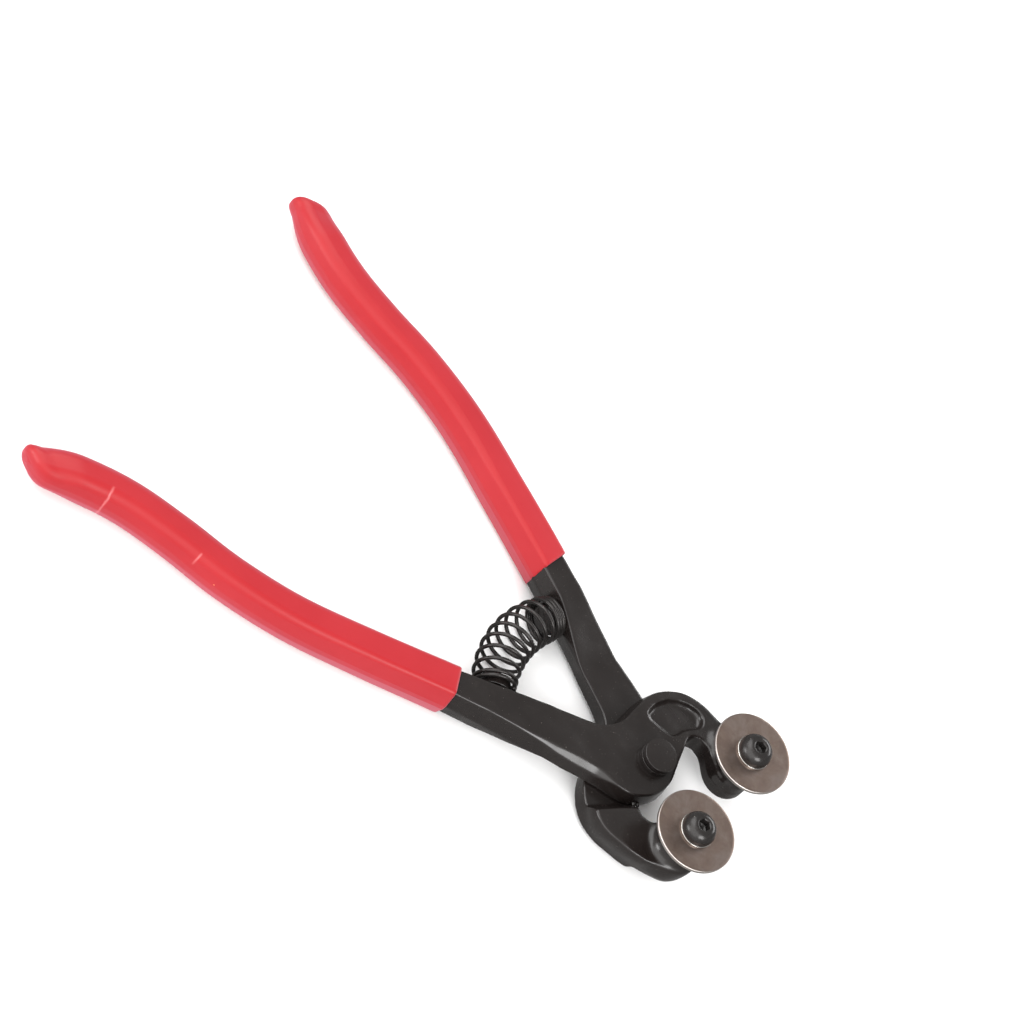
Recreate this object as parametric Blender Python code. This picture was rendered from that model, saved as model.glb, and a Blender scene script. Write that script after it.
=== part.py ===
"""Wheeled mosaic glass nippers: two forged levers on a rivet, each carrying a cutting wheel.

The tool lies flat. +Z is up, towards the wheel screws. +X runs from the handles to the jaws, along
the line that halves the angle between the handles. The origin is on the pivot axis, at the height
of the flat end of the rivet, which rests on the table. Sizes below are in millimetres.

The front lever is the upper one: its handle is at -Y and its jaw at +Y. The rear lever is the same
forging turned over about X, with a taller arm, so that both wheels lie in one plane.
"""

import math

import bmesh
import bpy
from mathutils import Matrix, Vector

MM = 0.001
GAP = 0.3  # air between pieces that touch on the real tool

# Heights, measured from the plane where the two levers meet.
JOINT_HEIGHT = 6.7  # of that plane above the table
HALF_JOINT = 5.4  # thickness of one lever at the joint
HALF_HANDLE = 5.0  # half the thickness of a handle
ARM_TOP = 4.7  # top face of the rear lever's jaw arm
WHEEL_TOP = 15.2

# Cutting wheels, their screws and washers.
WHEEL_X, WHEEL_Y = 17.2, 15.3
WHEEL_R, WHEEL_THICK, WHEEL_BORE_R, WHEEL_CHAMFER = 11.0, 1.7, 3.2, 0.2
WASHER_R, WASHER_THICK, WASHER_BORE_R = 4.9, 0.5, 2.7
SCREW_HEAD_R, SCREW_HEAD_HEIGHT, SCREW_SHANK_R, SCREW_LENGTH = 4.55, 3.0, 2.5, 12.0
SOCKET_ACROSS_FLATS, SOCKET_DEPTH = 3.0, 1.9
TAPPED_HOLE_R = 2.65

# Rivet and the ring under its head.
RIVET_SHANK_R, RIVET_HEAD_R, RIVET_HEAD_THICK, RIVET_TAIL_R = 3.0, 4.6, 1.5, 4.4
PIVOT_BORE_R = 3.15
RING_R, RING_THICK = 4.35, 0.9

# Lever handle: the middle line from the boss to the end of the tang.
HANDLE_LINE = (
    (-11.0, -8.9), (-30.0, -16.0), (-50.0, -24.1), (-72.0, -33.5), (-92.0, -41.3),
    (-110.0, -45.6), (-126.0, -47.4), (-140.0, -49.8), (-152.0, -54.0), (-164.5, -59.6),
)
MOUTH = 0.264  # where the grip starts, as a fraction of the line's length
TANG_END = 0.955
SHANK_HALF_WIDTH_BOSS, SHANK_HALF_WIDTH_MOUTH, TANG_HALF_WIDTH = 5.9, 3.6, 3.2
RIDGE_PROUD = 1.2  # how far the side ridge stands out past the top and bottom faces
RAMP_START, RAMP_END = 0.072, 0.2  # where a half lever thickens to the full handle

# Plan of the joint: boss, neck and jaw arm of the front lever.
BOSS_X, BOSS_Y, BOSS_R = -5.5, -2.4, 11.7
NECK_X, NECK_Y, NECK_R = -24.0, 5.6, 11.85
ARM_X, ARM_Y, ARM_R = 2.3, 9.9, 14.0
POST_R_FRONT, POST_R_REAR = 5.9, 7.1
POST_TOP_R = 4.9
POST_BOTTOM_FRONT, POST_BOTTOM_REAR = -1.0, -0.9
ARM_BULGE = 2.3  # how much further out the rear arm's tall part stands at its top
STEP_X, STEP_UP = 11.8, 2.0  # the rear arm's underside steps up here, under its post
EDGE_ROUND = 0.7

# Shoulder of the rear lever, where its arm steps up to full height.
SHOULDER_INNER, SHOULDER_OUTER, SHOULDER_RUN = (2.7, -15.7), (-4.0, -23.4), 2.8

# Pocket in the front lever's top face.
POCKET = (
    (-8.6, 9.6), (-8.3, 13.6), (-6.6, 16.9), (-4.0, 19.3), (-1.2, 20.8), (1.8, 21.2),
    (4.1, 19.4), (4.4, 17.6), (2.9, 15.4), (1.4, 13.3), (0.9, 10.8), (-0.4, 9.3), (-4.0, 8.9),
    (-7.4, 8.6),
)
POCKET_DEPTH = 1.5

# Vinyl grips.
GRIP_HALF_WIDTHS, GRIP_HALF_HEIGHTS = (6.1, 5.6, 5.3), (6.7, 6.3, 5.8)
GRIP_CLEARANCE = 0.3
# Towards the tip of each grip: places along the handle line, with the width left there.
FRONT_TIP = ((0.972, 0.88), (0.985, 0.66), (0.995, 0.44), (1.004, 0.32), (1.01, 0.18))
REAR_TIP = ((0.969, 0.88), (0.98, 0.66), (0.986, 0.42), (0.99, 0.2))

# Return spring, bowed outwards between pegs on the two shanks.
SPRING_WIRE_R, SPRING_COIL_R, SPRING_TURNS, CLOSED_TURNS = 0.5, 6.15, 9.5, 2.5
PEG_AT = 0.211  # along the handle line
PEG_R, PEG_TAPER_R, PEG_LENGTH, PEG_SINK, PEG_HOLE_R = 4.2, 3.2, 4.5, 3.0, 2.0

RINGS_ROUND = 32

COLOURS = {
    "black_enamel": ((0.016, 0.014, 0.013), 0.25, 0.0),
    "red_vinyl": ((0.72, 0.035, 0.06), 0.35, 0.0),
    "ground_steel": ((0.25, 0.21, 0.19), 0.38, 1.0),
    "zinc": ((0.62, 0.62, 0.6), 0.25, 1.0),
    "black_oxide": ((0.02, 0.018, 0.017), 0.3, 0.6),
    "spring_wire": ((0.03, 0.026, 0.025), 0.3, 0.7),
}


def clear_scene():
    for obj in list(bpy.data.objects):
        bpy.data.objects.remove(obj, do_unlink=True)


def material(name):
    found = bpy.data.materials.get(name)
    if found:
        return found
    made = bpy.data.materials.new(name)
    made.use_nodes = True
    shader = made.node_tree.nodes["Principled BSDF"]
    colour, roughness, metallic = COLOURS[name]
    shader.inputs["Base Color"].default_value = (*colour, 1.0)
    shader.inputs["Roughness"].default_value = roughness
    shader.inputs["Metallic"].default_value = metallic
    return made


def mesh_object(name, rings, finish, closed=False, location=(0, 0, 0)):
    """A solid skinned over rings of equal point count: capped at its ends, or closed into a loop."""
    mesh = bpy.data.meshes.new(name)
    work = bmesh.new()
    rows = [[work.verts.new(Vector(point) * MM) for point in ring] for ring in rings]
    count = len(rows[0])
    pairs = list(zip(rows, rows[1:]))
    if closed:
        pairs.append((rows[-1], rows[0]))
    for low, high in pairs:
        for i in range(count):
            j = (i + 1) % count
            work.faces.new((low[i], low[j], high[j], high[i]))
    if not closed:
        work.faces.new(rows[0][::-1])
        work.faces.new(rows[-1])
    bmesh.ops.recalc_face_normals(work, faces=work.faces)
    work.to_mesh(mesh)
    work.free()
    mesh.materials.append(material(finish))
    mesh.shade_smooth()
    mesh.set_sharp_from_angle(angle=math.radians(35))
    obj = bpy.data.objects.new(name, mesh)
    obj.location = Vector(location) * MM
    bpy.context.scene.collection.objects.link(obj)
    return obj


def helper(obj):
    """Hides a shape that only cuts or joins another."""
    obj.hide_render = True
    obj.display_type = "WIRE"
    return obj


def boolean(obj, other, operation):
    modifier = obj.modifiers.new(other.name, "BOOLEAN")
    modifier.operation = operation
    modifier.object = helper(other)


def bevel(obj, width, segments=2):
    modifier = obj.modifiers.new("edges", "BEVEL")
    modifier.width = width * MM
    modifier.segments = segments
    modifier.limit_method = "ANGLE"
    modifier.angle_limit = math.radians(50)
    modifier.harden_normals = False


def circle(x, y, z, radius, count=RINGS_ROUND):
    return [
        (x + radius * math.cos(turn), y + radius * math.sin(turn), z)
        for turn in (2 * math.pi * i / count for i in range(count))
    ]


def turned(name, profile, finish, location=(0, 0, 0), closed=False, count=RINGS_ROUND):
    """A solid turned about the local Z axis from (radius, height) points."""
    rings = [circle(0, 0, z, radius, count) for radius, z in profile]
    return mesh_object(name, rings, finish, closed, location)


def arc(x, y, radius, start, end, count):
    """Points on an arc, its angles in degrees."""
    turns = [math.radians(start + (end - start) * i / (count - 1)) for i in range(count)]
    return [(x + radius * math.cos(turn), y + radius * math.sin(turn)) for turn in turns]


def prism(name, outline, low, high, finish="black_enamel"):
    return mesh_object(name, [[(x, y, z) for x, y in outline] for z in (low, high)], finish)


def smooth(low, high, at):
    """Eases from 0 at low to 1 at high, either way round."""
    t = min(1.0, max(0.0, (at - low) / (high - low)))
    return t * t * (3 - 2 * t)


def spline(points, fraction):
    """Point and direction on a Catmull-Rom curve, by fraction of its chord length."""
    knots = [Vector(p) for p in points]
    lengths = [0.0]
    for a, b in zip(knots, knots[1:]):
        lengths.append(lengths[-1] + (b - a).length)
    goal = fraction * lengths[-1]
    i = max(k for k in range(len(knots) - 1) if lengths[k] <= goal + 1e-9)
    t = (goal - lengths[i]) / (lengths[i + 1] - lengths[i])
    p1, p2 = knots[i], knots[i + 1]
    p0 = knots[i - 1] if i > 0 else 2 * p1 - p2
    p3 = knots[i + 2] if i + 2 < len(knots) else 2 * p2 - p1
    m1, m2 = (p2 - p0) / 2, (p3 - p1) / 2
    t2, t3 = t * t, t * t * t
    place = (2 * t3 - 3 * t2 + 1) * p1 + (t3 - 2 * t2 + t) * m1
    place += (3 * t2 - 2 * t3) * p2 + (t3 - t2) * m2
    slope = (6 * t2 - 6 * t) * (p1 - p2) + (3 * t2 - 4 * t + 1) * m1 + (3 * t2 - 2 * t) * m2
    return place, slope.normalized()


def across(fraction):
    """A frame on the handle line: its point, and the sideways direction towards the other handle."""
    place, along = spline(HANDLE_LINE, fraction)
    return place, Vector((along.y, -along.x))


def bar_section(fraction, extra=0.0):
    """The bar's eight-sided section with a point halfway along each side: 16 points."""
    place, side = across(fraction)
    if fraction < MOUTH:
        width = SHANK_HALF_WIDTH_BOSS + (SHANK_HALF_WIDTH_MOUTH - SHANK_HALF_WIDTH_BOSS) * smooth(
            0.03, 0.19, fraction
        )
    else:
        width = SHANK_HALF_WIDTH_MOUTH + (TANG_HALF_WIDTH - SHANK_HALF_WIDTH_MOUTH) * smooth(
            MOUTH, 0.32, fraction
        )
    width *= 1 - 0.3 * smooth(0.93, TANG_END, fraction)
    drop = smooth(MOUTH - 0.03, MOUTH + 0.03, fraction)
    top = HALF_JOINT + (HALF_HANDLE - HALF_JOINT) * drop
    low = GAP / 2 - (GAP / 2 + HALF_HANDLE) * smooth(RAMP_START, RAMP_END, fraction)
    flat, ridge = width + 0.5 * extra, width + RIDGE_PROUD + extra
    top, low = top + extra, low - extra
    middle, band = (top + low) / 2, 0.12 * (top - low)
    corners = [
        (flat, top), (ridge, middle + band), (ridge, middle - band), (flat, low),
        (-flat, low), (-ridge, middle - band), (-ridge, middle + band), (-flat, top),
    ]
    ring = []
    for (a, b), (c, d) in zip(corners, corners[1:] + corners[:1]):
        ring += [(a, b), ((a + c) / 2, (b + d) / 2)]
    return [(place.x + side.x * u, place.y + side.y * u, v) for u, v in ring]


def grip_section(fraction, shrink=1.0):
    """A rounded section, flatter at the sides than an ellipse, starting where bar_section does."""
    place, side = across(fraction)
    t = (fraction - MOUTH) / (1 - MOUTH)
    sizes = []
    for start, middle, end in (GRIP_HALF_WIDTHS, GRIP_HALF_HEIGHTS):
        sizes.append(start + (middle - start) * smooth(0, 0.35, t) + (end - middle) * smooth(0.5, 1, t))
    ring = []
    for i in range(16):
        turn = math.radians(56 - 22.5 * i)
        c, s = math.cos(turn), math.sin(turn)
        u = sizes[0] * shrink * math.copysign(abs(c) ** 0.85, c)
        v = sizes[1] * math.sqrt(shrink) * math.copysign(abs(s) ** 0.85, s)
        ring.append((place.x + side.x * u, place.y + side.y * u, v))
    return ring


def steps(start, end, count):
    return [start + (end - start) * i / (count - 1) for i in range(count)]


def joint_outline(post_r, bulge=0.0):
    """Plan of the front lever from the shank round the neck, arm, post, notch and boss."""
    outline = [(-44.0, -21.5), (-27.0, -9.4)]
    outline += arc(NECK_X, NECK_Y, NECK_R, -62, 4, 8)
    for x, y in arc(ARM_X, ARM_Y, ARM_R, 178, 84, 11):
        swell = bulge / ARM_R * smooth(140, 95, math.degrees(math.atan2(y - ARM_Y, x - ARM_X)))
        outline.append((x + (x - ARM_X) * swell, y + (y - ARM_Y) * swell))
    outline += [(9.0, 23.5 + bulge), (13.5, 22.6 + bulge)]
    outline += arc(WHEEL_X, WHEEL_Y, post_r, 62, -118, 12)
    outline += [(11.6, 12.9), (9.3, 14.6), (6.4, 15.1), (4.4, 14.3), (3.4, 12.6)]
    outline += [(4.2, 8.8), (5.2, 4.5)]
    outline += arc(BOSS_X, BOSS_Y, BOSS_R, 20, -66, 9)
    outline += [(-10.0, -15.6), (-21.0, -18.9)]
    return outline


def turn_over(obj):
    """Turns a front-lever shape over about X, which makes it the rear lever's."""
    obj.data.transform(Matrix.Diagonal((1, -1, -1, 1)))


def raise_to_joint(*objects):
    for obj in objects:
        obj.location.z += JOINT_HEIGHT * MM


def lever(name, is_front):
    fractions = steps(0.02, MOUTH + 0.05, 16) + steps(0.33, TANG_END, 17)
    body = mesh_object(name, [bar_section(f) for f in fractions], "black_enamel")
    post_r = POST_R_FRONT if is_front else POST_R_REAR
    plate = prism(name + "_plate", joint_outline(post_r - 0.4), GAP / 2, HALF_JOINT)
    bevel(plate, EDGE_ROUND)
    if not is_front:
        turn_over(body)
        turn_over(plate)
    boolean(body, plate, "UNION")
    made = [body, plate]
    if not is_front:
        made.append(rear_arm(name))
        boolean(body, made[-1], "UNION")
    made.append(post(name + "_post", is_front))
    boolean(body, made[-1], "UNION")
    if not is_front:
        made.append(step_cut(name + "_step_cut"))
        boolean(body, made[-1], "DIFFERENCE")
    made.append(turned(name + "_bore", [(PIVOT_BORE_R, -20), (PIVOT_BORE_R, 20)], "black_enamel"))
    boolean(body, made[-1], "DIFFERENCE")
    y = WHEEL_Y if is_front else -WHEEL_Y
    hole = [(TAPPED_HOLE_R, 2.0), (TAPPED_HOLE_R, 20.0)]
    made.append(turned(name + "_tapped", hole, "black_enamel", (WHEEL_X, y, 0), count=24))
    boolean(body, made[-1], "DIFFERENCE")
    made.append(peg_hole(name + "_peg_hole", is_front))
    boolean(body, made[-1], "DIFFERENCE")
    if is_front:
        rings = [[(x, y, z) for x, y in POCKET] for z in (HALF_JOINT - POCKET_DEPTH, HALF_JOINT + 1)]
        made.append(mesh_object(name + "_pocket", rings, "black_enamel"))
        boolean(body, made[-1], "DIFFERENCE")
    raise_to_joint(*made)
    return body


def rear_arm(name):
    """The rear lever's jaw arm at full height, cut off along the sloping shoulder."""
    rings = []
    for z, bulge in ((-HALF_JOINT, 0.0), (0.0, ARM_BULGE * 0.7), (ARM_TOP, ARM_BULGE)):
        outline = joint_outline(POST_R_REAR - 0.4, bulge)
        rings.append([(x, -y, z) for x, y in outline])
    arm = mesh_object(name + "_arm", rings, "black_enamel")
    inner, outer = Vector(SHOULDER_INNER), Vector(SHOULDER_OUTER)
    along = (inner - outer).normalized()
    back = Vector((-along.y, along.x))
    foot_z, reach = -GAP / 2 - 0.4, 60.0
    slope = SHOULDER_RUN / (ARM_TOP - foot_z)
    rings = []
    for z in (foot_z, ARM_TOP + 6.0):
        near = outer + back * (ARM_TOP - z) * slope
        corners = [near - along * reach, near + along * reach]
        corners += [corners[1] + back * reach, corners[0] + back * reach]
        rings.append([(p.x, p.y, z) for p in corners])
    cutter = mesh_object(name + "_shoulder_cut", rings, "black_enamel")
    raise_to_joint(cutter)
    boolean(arm, cutter, "DIFFERENCE")
    return arm


def step_cut(name):
    """What the step under the rear arm takes away."""
    low, high = -HALF_JOINT - 2.0, -HALF_JOINT + STEP_UP
    run = STEP_UP * 0.6
    side = [(STEP_X - run, low), (STEP_X, -HALF_JOINT), (STEP_X + run, high), (40.0, high), (40.0, low)]
    return mesh_object(name, [[(x, y, z) for x, z in side] for y in (-40.0, 0.0)], "black_enamel")


def post(name, is_front):
    """The round post that lifts a wheel above its arm, with a rounded foot and a narrow neck."""
    wide = POST_R_FRONT if is_front else POST_R_REAR
    foot = POST_BOTTOM_FRONT if is_front else POST_BOTTOM_REAR
    top = WHEEL_TOP - WHEEL_THICK - GAP
    profile = [(wide - 2.0, foot), (wide - 0.8, foot + 0.5), (wide, foot + 1.7), (wide, 3.2)]
    profile += [(wide - 0.45 * (wide - POST_TOP_R), 7.5), (POST_TOP_R + 0.25, 11.0)]
    profile += [(POST_TOP_R, top - 0.4), (POST_TOP_R - 0.4, top)]
    y = WHEEL_Y if is_front else -WHEEL_Y
    return turned(name, profile, "black_enamel", (WHEEL_X, y, 0))


def peg_frame(is_front):
    """Where a peg leaves its shank, and its direction towards the other lever."""
    place, side = across(PEG_AT)
    seat = place + side * (SHANK_HALF_WIDTH_MOUTH + RIDGE_PROUD)
    flip = 1 if is_front else -1
    return Vector((seat.x, flip * seat.y, 0)), Vector((side.x, flip * side.y, 0))


def along_direction(obj, place, direction):
    """Stands a shape turned about Z at a place, pointing along a direction."""
    obj.rotation_euler = direction.to_track_quat("Z", "X").to_euler()
    obj.location = place * MM


def peg_hole(name, is_front):
    hole = turned(name, [(PEG_HOLE_R, -PEG_SINK), (PEG_HOLE_R, 6.0)], "black_enamel", count=20)
    along_direction(hole, *peg_frame(is_front))
    return hole


def spring_peg(name, is_front):
    """A peg with a seat flange outside the shank and a spigot pressed into it."""
    spigot = PEG_HOLE_R - GAP / 2
    profile = [(spigot, GAP - PEG_SINK), (spigot, GAP), (PEG_R + 0.6, GAP), (PEG_R + 0.6, GAP + 0.6)]
    profile += [(PEG_R, GAP + 0.7), (PEG_R, 2.6), (PEG_TAPER_R, PEG_LENGTH), (1.6, PEG_LENGTH + 0.5)]
    peg = turned(name, profile, "black_enamel", count=28)
    along_direction(peg, *peg_frame(is_front))
    raise_to_joint(peg)
    return peg


def grip(name, is_front):
    """A dipped sleeve, open at the mouth and closed over the tang's end."""
    rings = [bar_section(f, GRIP_CLEARANCE) for f in steps(TANG_END + 0.006, MOUTH, 18)]
    rings += [grip_section(f) for f in steps(MOUTH, 0.955, 20)]
    tip = FRONT_TIP if is_front else REAR_TIP
    rings += [grip_section(fraction, shrink) for fraction, shrink in tip]
    sleeve = mesh_object(name, rings, "red_vinyl")
    if not is_front:
        turn_over(sleeve)
    raise_to_joint(sleeve)
    return sleeve


def rivet():
    ring_top = HALF_JOINT + GAP + RING_THICK
    head = ring_top + GAP
    profile = [(RIVET_TAIL_R - 0.3, -JOINT_HEIGHT), (RIVET_TAIL_R, 0.25 - JOINT_HEIGHT)]
    profile += [(RIVET_TAIL_R, -HALF_JOINT - GAP), (RIVET_SHANK_R, -HALF_JOINT - GAP)]
    profile += [(RIVET_SHANK_R, head), (RIVET_HEAD_R, head)]
    profile += [(RIVET_HEAD_R, head + RIVET_HEAD_THICK - 0.25)]
    profile += [(RIVET_HEAD_R - 0.25, head + RIVET_HEAD_THICK)]
    pin = turned("pivot_rivet", profile, "black_enamel")
    ring_low = HALF_JOINT + GAP
    bore = RIVET_SHANK_R + 0.15
    section = [(bore, ring_low), (RING_R - 0.15, ring_low), (RING_R, ring_low + 0.15)]
    section += [(RING_R, ring_top - 0.15), (RING_R - 0.15, ring_top), (bore, ring_top)]
    ring = turned("pivot_washer", section, "black_enamel", closed=True)
    raise_to_joint(pin, ring)


def wheel_set(side, is_front):
    """One cutting wheel, clamped to its post by a washer and a socket screw."""
    place = (WHEEL_X, WHEEL_Y if is_front else -WHEEL_Y, JOINT_HEIGHT)
    low, high = WHEEL_TOP - WHEEL_THICK, WHEEL_TOP
    c, rim = WHEEL_CHAMFER, WHEEL_R
    section = [(WHEEL_BORE_R, low), (rim - c, low), (rim, low + c), (rim, high - c)]
    section += [(rim - c, high), (WHEEL_BORE_R, high)]
    turned(side + "_cutting_wheel", section, "ground_steel", place, closed=True, count=64)
    low, high = WHEEL_TOP + GAP / 2, WHEEL_TOP + GAP / 2 + WASHER_THICK
    section = [(WASHER_BORE_R, low), (WASHER_R - 0.1, low), (WASHER_R, low + 0.1)]
    section += [(WASHER_R, high - 0.1), (WASHER_R - 0.1, high), (WASHER_BORE_R, high)]
    turned(side + "_wheel_washer", section, "zinc", place, closed=True, count=36)
    head = high + GAP / 2
    profile = [(SCREW_SHANK_R - 0.4, head - SCREW_LENGTH), (SCREW_SHANK_R, head - SCREW_LENGTH + 0.4)]
    profile += [(SCREW_SHANK_R, head), (SCREW_HEAD_R, head), (SCREW_HEAD_R, head + 0.45)]
    for turn in (15, 32, 48, 62):
        c, s = math.cos(math.radians(turn)), math.sin(math.radians(turn))
        profile.append((SCREW_HEAD_R * c, head + 0.45 + (SCREW_HEAD_HEIGHT - 0.45) * s / 0.96))
    profile.append((SOCKET_ACROSS_FLATS * 0.66, head + SCREW_HEAD_HEIGHT))
    screw = turned(side + "_wheel_screw", profile, "black_oxide", place, count=36)
    corner_r = SOCKET_ACROSS_FLATS / math.sqrt(3)
    top = head + SCREW_HEAD_HEIGHT
    socket = [(corner_r, top - SOCKET_DEPTH), (corner_r, top + 1.0)]
    cutter = turned(side + "_socket_cut", socket, "black_oxide", place, count=6)
    boolean(screw, cutter, "DIFFERENCE")


def spring():
    """The coil spring on an arc between the pegs, its end turns wound close."""
    seat, out = peg_frame(True)
    tilt = math.atan2(-out.x, out.y)
    start = seat + out * (GAP + 0.6 + GAP + SPRING_WIRE_R)
    bow_r = -start.y / math.sin(tilt)
    centre = Vector((start.x + bow_r * math.cos(tilt), 0, 0))
    length = 2 * tilt * bow_r
    close_pitch = 2 * SPRING_WIRE_R + 0.12
    open_turns = SPRING_TURNS - 2 * CLOSED_TURNS
    open_pitch = (length - 2 * CLOSED_TURNS * close_pitch) / open_turns
    per_turn = 16
    count = int(SPRING_TURNS * per_turn)

    def along(turns):
        """Distance along the arc after so many turns."""
        first = min(turns, CLOSED_TURNS)
        middle = min(max(turns - CLOSED_TURNS, 0.0), open_turns)
        last = max(turns - CLOSED_TURNS - open_turns, 0.0)
        return (first + last) * close_pitch + middle * open_pitch

    middles = []
    for i in range(count + 1):
        turns = i / per_turn
        bow = math.pi + tilt - along(turns) / bow_r
        radial = Vector((math.cos(bow), math.sin(bow), 0))
        turn = 2 * math.pi * turns
        offset = radial * math.cos(turn) + Vector((0, 0, 1)) * math.sin(turn)
        middles.append(centre + radial * bow_r + offset * SPRING_COIL_R)
    rings = []
    for i, middle in enumerate(middles):
        ahead = middles[min(i + 1, count)] - middles[max(i - 1, 0)]
        outward = middle - centre
        outward.z = 0
        hub = centre + outward.normalized() * bow_r
        u = (middle - hub).normalized()
        v = ahead.normalized().cross(u).normalized()
        corners = [math.radians(60 * k) for k in range(6)]
        rings.append([middle + (u * math.cos(a) + v * math.sin(a)) * SPRING_WIRE_R for a in corners])
    coil = mesh_object("return_spring", rings, "spring_wire")
    raise_to_joint(coil)


def main():
    clear_scene()
    for side, is_front in (("front", True), ("rear", False)):
        lever(side + "_lever", is_front)
        grip(side + "_grip", is_front)
        spring_peg(side + "_spring_peg", is_front)
        wheel_set(side, is_front)
    rivet()
    spring()


main()
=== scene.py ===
"""The looks of the wheeled mosaic glass nippers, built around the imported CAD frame.

Shapes are made in millimetres, with heights measured from the plane where the two levers meet, and
turned into the frame's metres at the end. The front lever is the upper one. Its outline is mirrored
in Y, and its thickness in Z, for the rear lever.
"""

import math

import bpy
import numpy as np
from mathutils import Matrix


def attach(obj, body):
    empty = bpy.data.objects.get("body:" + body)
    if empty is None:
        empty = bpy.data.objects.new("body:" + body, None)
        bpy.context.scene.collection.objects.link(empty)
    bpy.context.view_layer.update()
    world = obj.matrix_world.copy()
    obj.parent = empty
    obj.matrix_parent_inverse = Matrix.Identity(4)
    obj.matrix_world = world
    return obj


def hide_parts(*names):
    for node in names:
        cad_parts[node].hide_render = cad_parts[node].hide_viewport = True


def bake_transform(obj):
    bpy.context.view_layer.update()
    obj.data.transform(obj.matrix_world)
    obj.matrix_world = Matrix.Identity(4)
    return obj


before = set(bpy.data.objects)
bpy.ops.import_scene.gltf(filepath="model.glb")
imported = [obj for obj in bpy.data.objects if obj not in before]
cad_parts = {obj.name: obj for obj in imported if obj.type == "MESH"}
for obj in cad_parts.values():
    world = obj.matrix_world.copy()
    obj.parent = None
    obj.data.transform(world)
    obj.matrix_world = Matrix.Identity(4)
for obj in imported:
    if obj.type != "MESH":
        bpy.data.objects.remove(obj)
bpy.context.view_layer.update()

import openvdb
from mathutils import Euler, Matrix, Vector

MM = 0.001
JOINT_HEIGHT = 6.7  # of the plane where the levers meet, over the table
STEP = 0.26  # spacing of the grid that the forgings are meshed on

HALF_JOINT, HALF_HANDLE = 5.4, 5.0  # half the thickness of the joint, and of a handle
WHEEL_X, WHEEL_Y, WHEEL_R, WHEEL_THICK, WHEEL_TOP = 17.2, 15.3, 11.0, 1.7, 15.2
WASHER_THICK = 0.55
MOUTH_X = -51.2  # of the grips
BAR_END_X = -58.5  # where the forging ends and its plain tang goes on inside the grip
ARM_TOP = 4.7  # of the rear lever's raised arm

HANDLE_LINE = (
    (-11.0, -8.9), (-30.0, -16.0), (-50.0, -24.1), (-72.0, -33.5), (-92.0, -41.3),
    (-110.0, -45.6), (-126.0, -47.4), (-140.0, -49.8), (-152.0, -54.1), (-165.0, -60.6),
)


# ---------------------------------------------------------------- small maths

def ease(low, high, at):
    t = np.clip((at - low) / (high - low), 0.0, 1.0)
    return t * t * (3 - 2 * t)


def soft_max(a, b, k):
    """The larger of two distances, with their meeting edge rounded over about k."""
    h = np.maximum(k - np.abs(a - b), 0.0) / k
    return np.maximum(a, b) + h * h * k * 0.25


def soft_min(a, b, k):
    return -soft_max(-a, -b, k)


def arc(x, y, radius, start, end, count):
    turns = np.radians(np.linspace(start, end, count))
    return [(x + radius * math.cos(t), y + radius * math.sin(t)) for t in turns]


def catmull(points, per_span, closed=False):
    """Points on a smooth curve through the given ones."""
    p = np.array(points, float)
    if closed:
        p = np.concatenate([p[-1:], p, p[:2]])
    else:
        p = np.concatenate([2 * p[:1] - p[1:2], p, 2 * p[-1:] - p[-2:-1]])
    made = []
    for i in range(1, len(p) - 2):
        t = np.linspace(0, 1, per_span, endpoint=False)[:, None]
        m1, m2 = (p[i + 1] - p[i - 1]) / 2, (p[i + 2] - p[i]) / 2
        made.append(
            (2 * t**3 - 3 * t**2 + 1) * p[i] + (t**3 - 2 * t**2 + t) * m1
            + (3 * t**2 - 2 * t**3) * p[i + 1] + (t**3 - t**2) * m2
        )
    if not closed:
        made.append(p[-2:-1])
    return np.concatenate(made)


def resample(points, spacing, closed=False):
    p = np.array(points, float)
    if closed:
        p = np.concatenate([p, p[:1]])
    along = np.concatenate([[0], np.cumsum(np.linalg.norm(np.diff(p, axis=0), axis=1))])
    count = max(4, int(along[-1] / spacing))
    at = np.linspace(0, along[-1], count, endpoint=not closed)
    return np.stack([np.interp(at, along, p[:, i]) for i in range(p.shape[1])], 1)


def soften(points, passes):
    """Rounds the corners of a closed outline."""
    for _ in range(passes):
        points = 0.5 * points + 0.25 * (np.roll(points, 1, 0) + np.roll(points, -1, 0))
    return points


def outline_distance(points, x, y):
    """Distance from each (x, y) to a closed outline, negative inside it."""
    best = np.full(x.shape, 1e9)
    inside = np.zeros(x.shape, bool)
    for (ax, ay), (bx, by) in zip(points, np.roll(points, -1, 0)):
        dx, dy = bx - ax, by - ay
        t = np.clip(((x - ax) * dx + (y - ay) * dy) / max(dx * dx + dy * dy, 1e-12), 0, 1)
        best = np.minimum(best, (x - ax - t * dx) ** 2 + (y - ay - t * dy) ** 2)
        if abs(dy) > 1e-12:
            crosses = ((ay > y) != (by > y)) & (x < ax + (y - ay) * dx / dy)
            inside ^= crosses
    return np.where(inside, -1, 1) * np.sqrt(best)


# ---------------------------------------------------------------- objects

def to_metres(points):
    p = np.asarray(points, float)
    return (p + np.array([0, 0, JOINT_HEIGHT])) * MM


def new_object(name, verts, faces, material, place=(0, 0, 0), sharp=None):
    """A smooth-shaded mesh object from points in metres, measured from its origin at place."""
    mesh = bpy.data.meshes.new(name)
    mesh.from_pydata([tuple(v) for v in verts], [], [tuple(int(i) for i in f) for f in faces])
    mesh.validate()
    mesh.materials.append(material)
    mesh.shade_smooth()
    if sharp:
        mesh.set_sharp_from_angle(angle=math.radians(sharp))
    obj = bpy.data.objects.new(name, mesh)
    obj.location = Vector(place)
    bpy.context.scene.collection.objects.link(obj)
    return obj


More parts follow.
